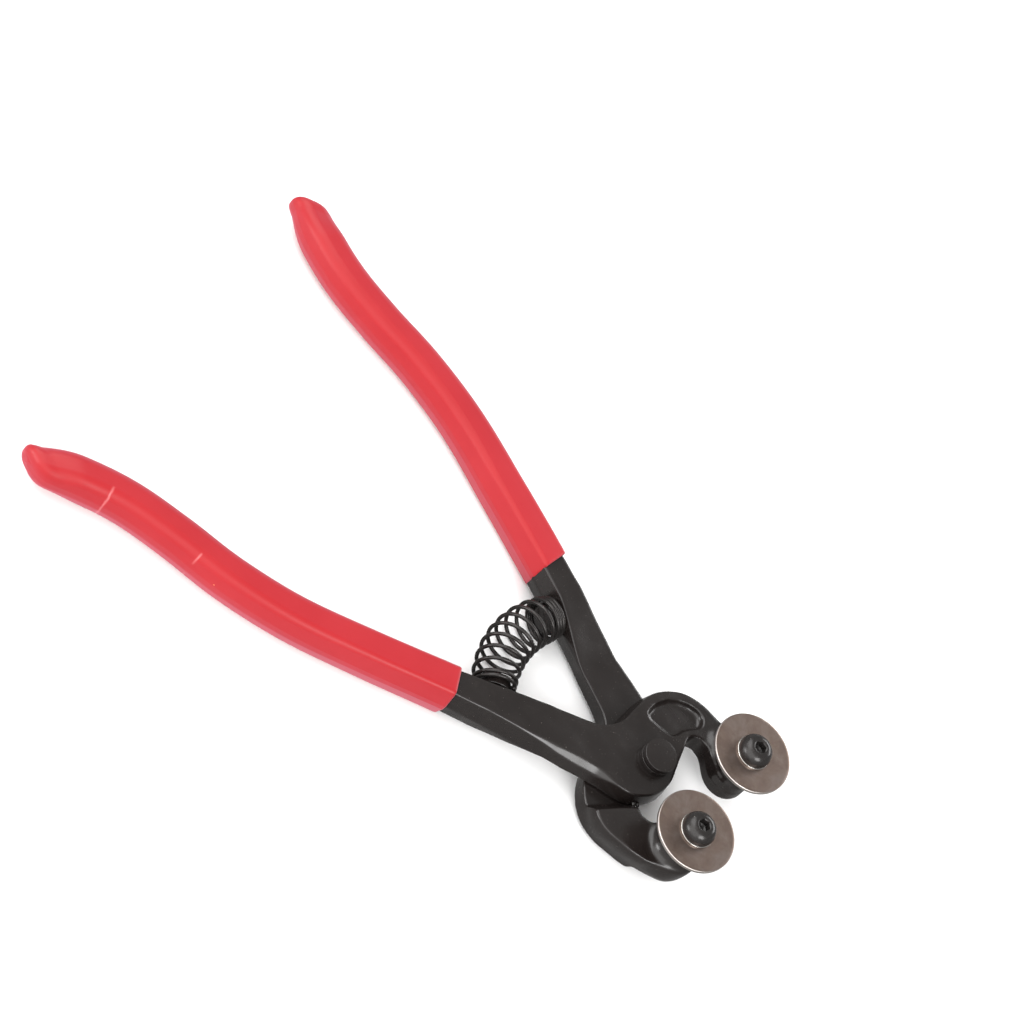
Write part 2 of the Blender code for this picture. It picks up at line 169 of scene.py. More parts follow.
def grid_faces(rows, count, closed):
    faces = []
    for r in range(rows if closed else rows - 1):
        a, b = r * count, ((r + 1) % rows) * count
        for i in range(count):
            j = (i + 1) % count
            faces.append((a + i, a + j, b + j, b + i))
    return faces


def outward(points, faces):
    """The faces of a closed surface, all reversed if they face inwards."""
    corners = np.array([(f[0], f[i], f[i + 1]) for f in faces for i in range(1, len(f) - 1)])
    a, b, c = (points[corners[:, i]] for i in range(3))
    inside_out = np.einsum("ij,ij->", a, np.cross(b, c)) < 0
    return [tuple(reversed(f)) for f in faces] if inside_out else faces


def skin(rings, closed=False):
    """Points and faces of a surface over rings of equal count.

    It is capped at both ends or, if closed, joined from the last ring to the first.
    """
    rings = [np.asarray(r, float) for r in rings]
    count = len(rings[0])
    verts = np.concatenate(rings)
    faces = grid_faces(len(rings), count, closed)
    if not closed:
        ends = np.array([rings[0].mean(0), rings[-1].mean(0)])
        low, high = len(verts), len(verts) + 1
        verts = np.concatenate([verts, ends])
        base = (len(rings) - 1) * count
        for i in range(count):
            j = (i + 1) % count
            faces.append((low, j, i))
            faces.append((high, base + i, base + j))
    return verts, outward(verts, faces)


def level_ring(radius, z, turns):
    """Points at a height, one for each angle. The radius may differ from angle to angle."""
    return np.stack([radius * np.cos(turns), radius * np.sin(turns), np.full(len(turns), z)], 1)


def full_turn(count):
    return np.linspace(0, 2 * math.pi, count, endpoint=False)


def lathe(name, profile, material, centre, count=128, closed=False, sharp=40):
    """A turned piece about the vertical through centre (mm), from (radius, height) points."""
    turns = full_turn(count)
    verts, faces = skin([level_ring(radius, z, turns) for radius, z in profile], closed)
    return new_object(name, verts * MM, faces, material, to_metres(centre), sharp)


def rounded(points, radius, count=4):
    """Rounds the inner corners of an open (radius, height) profile."""
    p = [np.array(q, float) for q in points]
    made = [p[0]]
    for before, here, after in zip(p, p[1:], p[2:]):
        a, b = before - here, after - here
        la, lb = np.linalg.norm(a), np.linalg.norm(b)
        cut = min(radius, 0.45 * la, 0.45 * lb)
        start, end = here + a / la * cut, here + b / lb * cut
        for t in np.linspace(0, 1, count):
            made.append((1 - t) ** 2 * start + 2 * t * (1 - t) * here + t * t * end)
    made.append(p[-1])
    return made


# ---------------------------------------------------------------- materials

class Nodes:
    """Builds a material's node tree with short calls."""

    def __init__(self, name):
        self.material = bpy.data.materials.new(name)
        self.material.use_nodes = True
        self.tree = self.material.node_tree
        self.shader = self.tree.nodes["Principled BSDF"]

    def node(self, kind, **settings):
        made = self.tree.nodes.new(kind)
        inputs = settings.pop("inputs", {})
        for key, value in settings.items():
            setattr(made, key, value)
        for key, value in inputs.items():
            self.feed(made.inputs[key], value)
        return made

    def feed(self, socket, value):
        if isinstance(value, bpy.types.NodeSocket):
            self.tree.links.new(value, socket)
        else:
            socket.default_value = value

    def math(self, operation, a, b=0.0, c=0.0, clamp=False):
        made = self.node("ShaderNodeMath", operation=operation, use_clamp=clamp)
        for socket, value in zip(made.inputs, (a, b, c)):
            self.feed(socket, value)
        return made.outputs[0]

    def coordinates(self):
        return self.node("ShaderNodeTexCoord").outputs["Object"]

    def split(self, vector):
        return self.node("ShaderNodeSeparateXYZ", inputs={0: vector}).outputs

    def noise(self, vector, scale, detail=3.0, rough=0.55, distortion=0.0):
        return self.node(
            "ShaderNodeTexNoise",
            inputs={
                "Vector": vector, "Scale": scale, "Detail": detail, "Roughness": rough,
                "Distortion": distortion,
            },
        ).outputs["Fac"]

    def ramp(self, value, stops):
        made = self.node("ShaderNodeValToRGB", inputs={"Fac": value})
        elements = made.color_ramp.elements
        while len(elements) < len(stops):
            elements.new(0.5)
        for element, (place, colour) in zip(elements, stops):
            element.position = place
            if not hasattr(colour, "__len__"):
                colour = (colour, colour, colour)
            element.color = (*colour, 1.0)
        return made.outputs["Color"]

    def mix(self, factor, a, b):
        made = self.node("ShaderNodeMix", data_type="RGBA")
        self.feed(made.inputs[0], factor)
        for socket, value in ((made.inputs[6], a), (made.inputs[7], b)):
            if not isinstance(value, bpy.types.NodeSocket):
                value = (*value, 1.0)
            self.feed(socket, value)
        return made.outputs[2]

    def bump(self, height, strength, distance):
        return self.node(
            "ShaderNodeBump", inputs={"Height": height, "Strength": strength, "Distance": distance}
        ).outputs["Normal"]

    def specks(self, vector, scale, size, share):
        """Small round dots, one in some cells of a grid of points: 1 on a dot and 0 elsewhere."""
        cells = self.node("ShaderNodeTexVoronoi", inputs={"Vector": vector, "Scale": scale})
        near = self.math("LESS_THAN", cells.outputs["Distance"], size)
        value = self.split(cells.outputs["Color"])[0]
        picked = self.math("LESS_THAN", value, share)
        return self.math("MULTIPLY", near, picked)

    def done(self, **values):
        for key, value in values.items():
            self.feed(self.shader.inputs[key.replace("_", " ")], value)
        return self.material


def black_enamel():
    """Glossy black paint over forged steel, with dust of two sizes and faint smears."""
    n = Nodes("black_enamel_look")
    at = n.coordinates()
    patches = n.noise(at, 90.0, 3.0)
    peel = n.noise(at, 420.0, 2.0)
    dust = n.specks(at, 700.0, 0.065, 0.13)
    fine_dust = n.specks(at, 1700.0, 0.12, 0.18)
    smear = n.noise(at, 260.0, 5.0, 0.7, 1.5)
    smear = n.ramp(smear, [(0.58, 0.0), (0.78, 1.0)])
    base = n.mix(patches, (0.0085, 0.0066, 0.0060), (0.0125, 0.0096, 0.0088))
    marks = n.math("MAXIMUM", n.math("MULTIPLY", dust, 0.62), n.math("MULTIPLY", fine_dust, 0.34))
    marks = n.math("MAXIMUM", marks, n.math("MULTIPLY", smear, 0.045))
    base = n.mix(marks, base, (0.15, 0.128, 0.112))
    rough = n.ramp(patches, [(0.3, 0.17), (0.75, 0.3)])
    rough = n.mix(marks, rough, (0.6, 0.6, 0.6))
    height = n.math("ADD", patches, n.math("MULTIPLY", peel, 0.22))
    height = n.math("ADD", height, n.math("MULTIPLY", dust, 0.35))
    return n.done(
        Base_Color=base, Roughness=rough, Normal=n.bump(height, 0.35, 0.00016), IOR=1.5,
    )


def red_vinyl(marks=()):
    """Glossy vinyl.

    Each mark is a short pale stretch line across the handle: its middle (mm), the handle's
    direction there, and half its length (mm).
    """
    mark_width, waviness = 0.00042, 0.0006
    n = Nodes("red_vinyl_look")
    at = n.coordinates()
    x, y, _ = n.split(at)
    cloud = n.noise(at, 55.0, 3.0)
    fine = n.noise(at, 900.0, 2.0)
    base = n.mix(cloud, (0.325, 0.0055, 0.0080), (0.375, 0.0078, 0.0112))
    line = None
    for (mx, my), (ax, ay), half in marks:
        dx, dy = n.math("SUBTRACT", x, mx * MM), n.math("SUBTRACT", y, my * MM)
        along = n.math("ADD", n.math("MULTIPLY", dx, ax), n.math("MULTIPLY", dy, ay))
        across = n.math("SUBTRACT", n.math("MULTIPLY", dx, ay), n.math("MULTIPLY", dy, ax))
        wave = n.math("MULTIPLY", n.math("SUBTRACT", n.noise(at, 500.0), 0.5), waviness)
        thin = n.math("ABSOLUTE", n.math("ADD", along, wave))
        thin = n.math("SUBTRACT", 1.0, n.math("DIVIDE", thin, mark_width), clamp=True)
        short = n.math("DIVIDE", n.math("ABSOLUTE", across), half * MM)
        short = n.math("SUBTRACT", 1.0, short, clamp=True)
        here = n.math("MULTIPLY", thin, n.math("POWER", short, 0.5))
        line = here if line is None else n.math("MAXIMUM", line, here)
    height = n.math("ADD", cloud, n.math("MULTIPLY", fine, 0.05))
    rough = n.ramp(cloud, [(0.3, 0.36), (0.7, 0.43)])
    specks = n.specks(at, 260.0, 0.05, 0.05)
    base = n.mix(n.math("MULTIPLY", specks, 0.5), base, (0.85, 0.35, 0.16))
    if line is not None:
        base = n.mix(n.math("MULTIPLY", line, 0.32), base, (0.95, 0.42, 0.42))
        height = n.math("ADD", height, n.math("MULTIPLY", line, -0.5))
    return n.done(
        Base_Color=base, Roughness=rough, Normal=n.bump(height, 0.3, 0.0002), IOR=1.5,
        Subsurface_Weight=0.06, Subsurface_Scale=0.0012, Specular_IOR_Level=0.32,
        Sheen_Weight=0.34, Sheen_Roughness=0.5, Sheen_Tint=(1.0, 0.55, 0.74, 1.0),
    )


def ground_steel():
    """Ground, mottled grey-brown faces with a brighter, finely scored rim.

    The object's origin has to lie on the wheel's axis.
    """
    n = Nodes("ground_steel_look")
    at = n.coordinates()
    x, y, _ = n.split(at)
    normal_z = n.split(n.node("ShaderNodeNewGeometry").outputs["Normal"])[2]
    rim = n.math("LESS_THAN", n.math("ABSOLUTE", normal_z), 0.88)  # 1 where the surface slopes
    radius = n.math("SQRT", n.math("ADD", n.math("MULTIPLY", x, x), n.math("MULTIPLY", y, y)))
    turn = n.math("ARCTAN2", y, x)
    spread = n.node("ShaderNodeCombineXYZ", inputs={0: n.math("MULTIPLY", turn, WHEEL_R * MM)})
    scores = n.noise(spread.outputs[0], 9000.0, 4.0, 0.8)
    drift = n.math("MULTIPLY", turn, 0.0006)
    circles = n.node("ShaderNodeCombineXYZ", inputs={0: radius, 1: drift})
    rings = n.noise(circles.outputs[0], 5200.0, 3.0, 0.7)
    blotch = n.noise(at, 170.0, 4.0, 0.6, 0.6)
    stain = n.noise(at, 480.0, 4.0, 0.6)
    face = n.ramp(blotch, [
        (0.34, (0.160, 0.118, 0.098)), (0.5, (0.212, 0.163, 0.140)), (0.66, (0.262, 0.213, 0.190)),
    ])
    warm = n.ramp(stain, [(0.45, 0.0), (0.7, 0.5)])
    face = n.mix(warm, face, (0.205, 0.148, 0.120))
    face = n.mix(n.math("MULTIPLY", rings, 0.12), face, (0.30, 0.255, 0.23))
    edge = n.ramp(scores, [(0.35, (0.40, 0.36, 0.335)), (0.65, (0.66, 0.62, 0.59))])
    base = n.mix(rim, face, edge)
    rough = n.ramp(blotch, [(0.3, 0.40), (0.7, 0.32)])
    face_height = n.math("ADD", n.math("MULTIPLY", rings, 0.12), n.math("MULTIPLY", stain, 0.10))
    face_height = n.math("MULTIPLY", n.math("SUBTRACT", 1.0, rim), face_height)
    height = n.math("ADD", n.math("MULTIPLY", rim, scores), face_height)
    return n.done(
        Base_Color=base, Metallic=1.0, Roughness=rough, Normal=n.bump(height, 0.5, 0.00006),
    )


def zinc():
    """Bright plated steel."""
    n = Nodes("zinc_look")
    at = n.coordinates()
    cloud = n.noise(at, 700.0, 3.0)
    base = n.mix(cloud, (0.44, 0.42, 0.395), (0.60, 0.585, 0.56))
    rough = n.ramp(cloud, [(0.3, 0.16), (0.7, 0.28)])
    return n.done(
        Base_Color=base, Metallic=1.0, Roughness=rough, Normal=n.bump(cloud, 0.2, 0.00003),
    )


def black_oxide(name, shade, metallic):
    """Blackened steel, lighter with a higher shade."""
    n = Nodes(name)
    at = n.coordinates()
    cloud = n.noise(at, 500.0, 3.0)
    fine = n.noise(at, 2600.0, 2.0)
    dark, light = (0.012, 0.011, 0.0105), (0.024, 0.021, 0.020)
    base = n.mix(cloud, [shade * c for c in dark], [shade * c for c in light])
    dots = n.specks(at, 900.0, 0.09, 0.05)
    base = n.mix(n.math("MULTIPLY", dots, 0.6), base, (0.3, 0.27, 0.24))
    rough = n.ramp(cloud, [(0.3, 0.18), (0.7, 0.30)])
    height = n.math("ADD", n.math("MULTIPLY", cloud, 0.6), n.math("MULTIPLY", fine, 0.12))
    return n.done(
        Base_Color=base, Metallic=metallic, Roughness=rough, Normal=n.bump(height, 0.25, 0.00006),
    )


def floor_material():
    n = Nodes("floor_look")
    return n.done(Base_Color=(0.93, 0.93, 0.93, 1.0), Roughness=0.85)


# ---------------------------------------------------------------- levers

def handle_curve():
    """The handle's middle line, finely sampled, and its distance along."""
    line = resample(catmull(HANDLE_LINE, 24), 0.5)
    along = np.concatenate([[0], np.cumsum(np.linalg.norm(np.diff(line, axis=0), axis=1))])
    return line, along


LINE, ALONG = handle_curve()


def along_at_x(x):
    return float(np.interp(-x, -LINE[:, 0], ALONG))


def point_on(path, along_path, at):
    return np.stack([np.interp(at, along_path, axis) for axis in path.T], -1)


def direction_on(path, along_path, at, reach):
    """Unit direction of a path, from the points that lie reach before and after."""
    way = point_on(path, along_path, at + reach) - point_on(path, along_path, at - reach)
    return way / np.linalg.norm(way, axis=-1, keepdims=True)


def line_frame(along):
    """Point and direction of the handle line at a distance along it, running on past its end."""
    along = np.asarray(along, float)
    reach = 0.6
    place = point_on(LINE, ALONG, along)
    way = direction_on(LINE, ALONG, np.minimum(along, ALONG[-1] - reach), reach)
    over = np.maximum(along - ALONG[-1], 0.0)
    return place + way * over[..., None], way


def joint_outline(bulge=0.0, post_r=5.6):
    """Plan of the front lever's outer face: neck, arm, post, notch and boss.

    The bulge moves the arm's outer edge out.
    """
    outline = [(-44.0, -21.5), (-27.0, -9.4)]
    outline += arc(-24.0, 5.6, 11.85, -62, 4, 12)
    arm_x, arm_y, arm_r = 2.3, 9.9, 14.0
    for x, y in arc(arm_x, arm_y, arm_r, 178, 84, 20):
        turn = math.degrees(math.atan2(y - arm_y, x - arm_x))
        swell = bulge / arm_r * float(ease(-140, -95, -turn))
        outline.append((x + (x - arm_x) * swell, y + (y - arm_y) * swell))
    outline += [(9.0, 23.5 + bulge), (13.5, 22.6 + bulge)]
    outline += arc(WHEEL_X, WHEEL_Y, post_r, 62, -118, 20)
    outline += [(11.6, 12.9), (9.3, 14.6), (6.4, 15.1), (4.4, 14.3), (3.4, 12.6)]
    outline += [(4.2, 8.8), (5.3, 4.5)]
    outline += arc(-5.4, -2.5, 12.0, 20, -66, 16)
    outline += [(-10.0, -15.6), (-21.0, -18.9)]
    return soften(resample(outline, 0.5, closed=True), 4)


POCKET = (
    (-8.9, 9.8), (-8.6, 13.6), (-6.9, 17.0), (-4.3, 19.4), (-1.4, 20.9), (1.4, 21.4), (3.2, 20.8),
    (4.4, 19.2), (4.5, 17.4), (3.0, 15.4), (1.5, 13.4), (1.0, 10.9), (-0.4, 9.3), (-4.0, 8.9),
    (-7.4, 8.7),
)


def axes_of(low, high):
    return [np.arange(a, b + STEP, STEP) for a, b in zip(low, high)]


def ripple(x, y, z, seed):
    """The slight unevenness of a forged and painted surface."""
    height, waves = 0.035, 10
    chance = np.random.default_rng(seed)
    total = 0.0
    for _ in range(waves):
        way = chance.normal(size=3)
        way /= np.linalg.norm(way)
        length = chance.uniform(3.5, 11.0)
        phase = chance.uniform(0, 2 * math.pi)
        across = x * way[0] + y * way[1] + z * way[2]
        total = total + np.sin(across * 2 * math.pi / length + phase)
    return total * height / math.sqrt(waves)


def handle_fields(x, y):
    """For a plane grid, the nearest distance along the handle line and the distance beside it."""
    near = np.full(x.shape, 1e9)
    along, side = np.zeros(x.shape), np.zeros(x.shape)
    bar_end = int(np.searchsorted(ALONG, along_at_x(-64.0)))
    for i in range(bar_end):
        a, b = LINE[i], LINE[i + 1]
        d = b - a
        t = np.clip(((x - a[0]) * d[0] + (y - a[1]) * d[1]) / (d @ d), 0, 1)
        ox, oy = x - a[0] - t * d[0], y - a[1] - t * d[1]
        far = ox * ox + oy * oy
        better = far < near
        near = np.where(better, far, near)
        along = np.where(better, ALONG[i] + t * (ALONG[i + 1] - ALONG[i]), along)
        side = np.where(better, np.sqrt(far) * np.sign(ox * d[1] - oy * d[0]), side)
    return along, side


def lever_body(x, y, z, flip):
    """Distance to a lever without its post. flip is 1 for the front lever and -1 for the rear."""
    plane_x, plane_y = x[:, :, 0], flip * y[:, :, 0]
    out = flip * z  # height towards the lever's outer face
    plate = outline_distance(joint_outline(), plane_x, plane_y)
    along, side = handle_fields(plane_x, plane_y)
    if flip > 0:
        half_widths, draft = (6.2, 5.9, 5.2, 4.75, 4.15, 3.6, 3.3), 0.15
    else:
        half_widths, draft = (5.6, 5.1, 4.4, 4.0, 3.75, 3.6, 3.3), 0.03
    stations = [along_at_x(v) for v in (-11, -20, -30, -35, -42, -50, -60)]
    # Before the line's start this is the distance from its first point, so the bar ends round.
    off_line = np.abs(side) - np.interp(along, stations, half_widths)
    wall = (plate[:, :, None] - draft * (HALF_JOINT - out)) * 0.985
    ridge = 1.3 * (1 - np.sqrt(out * out + 0.12) / HALF_HANDLE)
    # A flat breaks the edge between the outer face and the side away from the other handle. It
    # widens towards the boss.
    chamfer = 1.9 * ease(along_at_x(-42.0), along_at_x(-16.0), along) * ease(-0.5, -11.0, plane_x)
    chamfer = (chamfer * ease(0.0, -2.5, side) - 0.3)[:, :, None]
    bar = (off_line[:, :, None] - ridge) * 0.97
    wall = soft_min(wall, bar, 0.6)
    drop = ease(along_at_x(-40), along_at_x(-50), along)
    top = (HALF_JOINT - 0.3 * drop)[:, :, None]
    body = soft_max(wall, out - top, 0.6)
    body = soft_max(body, (wall + out - top + chamfer) * 0.7, 0.35)
    # The inner face drops from the joint's plane to the handle's full thickness.
    climb_start, climb_end = along_at_x(-25.0), along_at_x(-43.5)
    climb = np.clip((along - climb_start) / (climb_end - climb_start), 0, 1)
    ramp = 0.7 * climb + 0.3 * climb * climb * (3 - 2 * climb)
    low = (0.15 - ramp * (HALF_HANDLE + 0.15))[:, :, None]
    body = soft_max(body, (low - out) * 0.95, 0.45)
    return soft_max(body, BAR_END_X - x, 0.4)


def post_field(x, y, z, centre, heights, radii, swell=0.0):
    """A round post, its radius given at several heights, swelling towards the tool's outside."""
    dx, dy = x[:, :, 0] - centre[0], y[:, :, 0] - centre[1]
    far = np.hypot(dx, dy)
    facing_out = np.clip(dy * np.sign(centre[1]) / np.maximum(far, 0.1), 0, 1)
    level = z[0, 0, :]
    radius = np.interp(level, heights, radii)
    extra = swell * ease(10.0, 2.0, level)
    field = far[:, :, None] - radius - facing_out[:, :, None] ** 2 * extra
    field = soft_max(field * 0.96, level - heights[-1], 0.5)
    return soft_max(field, heights[0] - level, 1.2)


def front_field(x, y, z):
    body = lever_body(x, y, z, 1)
    pocket_depth = 1.7
    pocket = outline_distance(soften(resample(POCKET, 0.4, closed=True), 5), x[:, :, 0], y[:, :, 0])
    slope = pocket[:, :, None] - 0.15 + 0.4 * (HALF_JOINT - z)
    hollow = soft_max(slope * 0.92, (HALF_JOINT - pocket_depth) - z, 0.9)
    body = soft_max(body, -hollow, 0.4)
    post = post_field(
        x, y, z, (WHEEL_X, WHEEL_Y),
        [-0.6, 0.0, 0.8, 2.2, 2.9, 3.5, 5.0, 8.0, 11.0, 13.4],
        [5.0, 5.5, 5.75, 5.85, 5.95, 5.65, 5.5, 5.3, 5.05, 4.9],
    )
    body = soft_min(body, post, 2.0)
    # The arm's outer side climbs to the post in a web.
    dx, dy, dz = x - 11.8, y - 19.2, z - 4.2
    web = np.sqrt(dx * dx + dy * dy + (0.75 * dz) ** 2) - 3.6
    body = soft_min(body, web, 3.0)
    beads = [(3.0, -12.35, 1.6, 0.5), (4.05, -11.45, 1.2, 0.5), (1.6, -12.9, 1.0, 0.4)]
    for px, py, pz, r in beads:  # of dried enamel under the boss
        body = soft_min(body, np.sqrt((x - px) ** 2 + (y - py) ** 2 + (z - pz) ** 2) - r, 0.4)
    return body + ripple(x, y, z, 3)


def rear_field(x, y, z):
    body = lever_body(x, y, z, -1)
    plane_x, plane_y = x[:, :, 0], -y[:, :, 0]
    narrow = outline_distance(joint_outline(0.6, 6.3), plane_x, plane_y)
    wide = outline_distance(joint_outline(2.4, 7.0), plane_x, plane_y)
    share = ease(-HALF_JOINT, 3.5, z[0, 0, :])
    wall = narrow[:, :, None] * (1 - share) + wide[:, :, None] * share
    tall = soft_max(wall, z - ARM_TOP, 0.8)
    # The arm stands up beyond a straight shoulder that clears the front lever's boss.
    inner, outer = np.array([2.7, -15.7]), np.array([-4.0, -23.4])
    way = (inner - outer) / np.linalg.norm(inner - outer)
    away = np.array([-way[1], way[0]])
    depth = (x - outer[0]) * away[0] + (y - outer[1]) * away[1]
    shoulder = (depth - (ARM_TOP - z) * 0.56) * 0.87
    tall = soft_max(tall, shoulder, 0.5)
    tall = soft_max(tall, -HALF_JOINT - z, 0.9)
    body = soft_min(body, tall, 0.5)
    post = post_field(
        x, y, z, (WHEEL_X, -WHEEL_Y),
        [-1.8, -1.0, 0.0, 1.5, 4.2, 5.4, 7.5, 10.0, 13.4],
        [5.9, 6.4, 6.7, 6.8, 6.75, 6.3, 5.7, 5.3, 4.9],
        swell=0.8,
    )
    body = soft_min(body, post, 2.2)
    # The underside is cut back beyond the arm, below the post.
    under = soft_max(11.9 + (z + HALF_JOINT) * 0.5 - x, z + 3.2, 0.6)
    body = soft_max(body, -under, 0.6)
    return body + ripple(x, y, z, 8)


def meshed(field, axes):
    """Points (mm) and faces of the surface where the field is zero."""
    grid = openvdb.FloatGrid(background=1.0)
    grid.copyFromArray(np.ascontiguousarray(field.astype(np.float32)))
    points, triangles, quads = grid.convertToPolygons(isovalue=0.0, adaptivity=0.0)
    points = points * STEP + np.array([a[0] for a in axes])
    faces = [tuple(f) for f in quads] + [tuple(f) for f in triangles]
    return points, faces


def tang_ring(along, flip, half, height, ridge):
    """Six-sided section of the hidden tang."""
    place, way = line_frame(along)
    side = np.array([way[1], -way[0]])
    ring = []
    for u, v in (
        (half, height), (half + ridge, 0.0), (half, -height),
        (-half, -height), (-half - ridge, 0.0), (-half, height),
    ):
        ring.append((place[0] + side[0] * u, flip * (place[1] + side[1] * u), flip * v))
    return ring


def lever(name, field_of, low, high, flip, material):
    axes = axes_of(low, high)
    x, y, z = np.meshgrid(*axes, indexing="ij")
    points, faces = meshed(field_of(x, y, z), axes)
    tang_start, tang_end = along_at_x(BAR_END_X + 1.5), 0.95 * ALONG[-1]
    rings = []
    for s in np.linspace(tang_start, tang_end, 40):
        taper = float(ease(tang_end - 22.0, tang_end, s))
        rings.append(tang_ring(s, flip, 3.0 - 0.9 * taper, 4.4 - 1.9 * taper, 0.9))
    tang, tang_faces = skin(rings)
    faces = faces + [tuple(i + len(points) for i in f) for f in tang_faces]
    points = np.concatenate([points, tang])
    return new_object(name, to_metres(points), faces, material)


# ---------------------------------------------------------------- grips

FACET = math.tan(math.radians(16))  # lean of a grip's side faces
SLANT = 0.76  # of a grip's tip, cut back on its outer side


def grip_ring(along, wide, high, round_r, flip, slant=0.0, shift=0.0):
    """A section like the bar's, with a flat top and sides that lean to a ridge, and round corners.

    The half width and half height are wide and high. With a slant, the side away from the other
    handle is cut back along the line, and a shift moves the section towards the other handle.
    """
    band = 0.6  # half the upright part of a side
    w, h = wide - round_r, high - round_r
    flat = max(w - FACET * (h - band), 0.1)
    corners = np.array([
        (w, band), (flat, h), (-flat, h), (-w, band),
        (-w, -band), (-flat, -h), (flat, -h), (w, -band),
    ])
    turns = full_turn(120) + 0.01
    normals = np.stack([np.cos(turns), np.sin(turns)], 1)
    points = corners[np.argmax(normals @ corners.T, 1)] + round_r * normals
    u, v = points[:, 0] - shift, points[:, 1]
    place, way = line_frame(along + slant * u)
    x, y = place[:, 0] + way[:, 1] * u, place[:, 1] - way[:, 0] * u
    return np.stack([x, flip * y, flip * v], 1)


def grip(name, flip, shorter, material):
    """A dipped sleeve: inner wall and lip at the mouth, and an obliquely cut, rounded tip."""
    if flip > 0:
        mouth, lean, snug = along_at_x(MOUTH_X), 0.0, 0.0
    else:  # the rear grip's mouth is a little lower, narrower and cut aslant
        mouth, lean, snug = along_at_x(MOUTH_X) + 0.8, -0.2, -0.3
    mouth_shift = -1.4 * snug
    body_end = ALONG[-1] - shorter - 5.1

    def section(along):
        """Half width, half height and corner radius of the sleeve, and how far it is pinched."""
        place = -float(np.interp(along, ALONG, LINE[:, 0]))
        stations = [51, 60, 92, 120, 150, 166]
        wide = np.interp(place, stations, [5.55 + snug, 5.45 + snug / 2, 5.22, 5.15, 5.15, 5.05])
        high = np.interp(place, stations, [6.05, 6.05, 5.9, 5.85, 5.7, 5.5])
        round_r = np.interp(place, [51, 70, 95, 130, 166], [1.35, 1.8, 2.8, 3.6, 3.4])
        pinch = float(ease(body_end - 9.0, body_end + 5.0, along))
        return wide - 1.0 * pinch, high - 1.7 * pinch, round_r, pinch

    inner_wide, inner_high = 4.6, 5.15
    rings = [grip_ring(mouth + back, w, h, 0.5, flip, lean) for back, w, h in (
        (9.0, 4.45, 5.0), (0.5, 4.5, 5.05), (0.1, inner_wide, inner_high),
    )]
    for back, grow in ((-0.1, 0.2), (-0.16, 0.5), (-0.08, 0.78), (0.15, 0.94), (0.5, 1.0)):
        rings.append(grip_ring(
            mouth + back, inner_wide + (snug + 0.95) * grow, inner_high + 0.9 * grow,
            0.6 + 0.75 * grow, flip, lean, mouth_shift,
        ))
    for along in np.linspace(mouth + 1.0, body_end, 170):
        wide, high, round_r, pinch = section(along)
        slant = SLANT * float(ease(body_end - 16.0, body_end, along))
        slant += lean * float(ease(mouth + 12.0, mouth, along))
        aside = pinch + mouth_shift * float(ease(mouth + 28.0, mouth, along))
        rings.append(grip_ring(along, wide, high, round_r, flip, slant, aside))
    wide, high, round_r, pinch = section(body_end)
    tip_r = 3.3
    for turn in (12, 24, 36, 48, 60, 72, 84, 90):
        t = math.radians(turn)
        less = tip_r * (1 - math.cos(t))
        rings.append(grip_ring(
            body_end + 1.6 * min(turn / 24, 1.0) + tip_r * math.sin(t), wide - less, high - less,
            max(round_r - 0.9 * less, 0.5), flip, SLANT, pinch,
        ))
    rings.append(grip_ring(body_end + 1.75 + tip_r, 0.45, 0.35, 0.2, flip, SLANT, pinch))
    verts, faces = skin(rings)
    return new_object(name, to_metres(verts), faces, material)


# ---------------------------------------------------------------- small parts

def wheel(side, y, material):
    """A cutting disc, with a fine bevel above and a broad one below."""
    low, high = WHEEL_TOP - WHEEL_THICK, WHEEL_TOP
    middle = (low + high) / 2
    profile = [(3.1, low + 0.15), (3.3, low), (9.6, low), (WHEEL_R - 0.85, low)]
    profile += [(WHEEL_R - 0.03, low + 0.75), (WHEEL_R, low + 0.86), (WHEEL_R, high - 0.25)]
    profile += [(WHEEL_R - 0.03, high - 0.18), (WHEEL_R - 0.15, high - 0.03)]
    profile += [(WHEEL_R - 0.22, high), (10.2, high), (3.3, high), (3.1, high - 0.15)]
    profile = [(r, z - middle) for r, z in profile[::-1]]
    return lathe(side + "_cutting_disc", profile, material, (WHEEL_X, y, middle), 192, True, 30)


def washer(side, y, material):
    low, high = WHEEL_TOP, WHEEL_TOP + WASHER_THICK
    corners = [(2.7, high), (4.75, high), (4.75, low), (2.7, low), (2.7, high)]
    profile = rounded(corners, 0.18)[1:-1] + [(2.7, low), (2.7, high)]
    return lathe(side + "_flat_washer", profile, material, (WHEEL_X, y, 0), 128, True, 50)


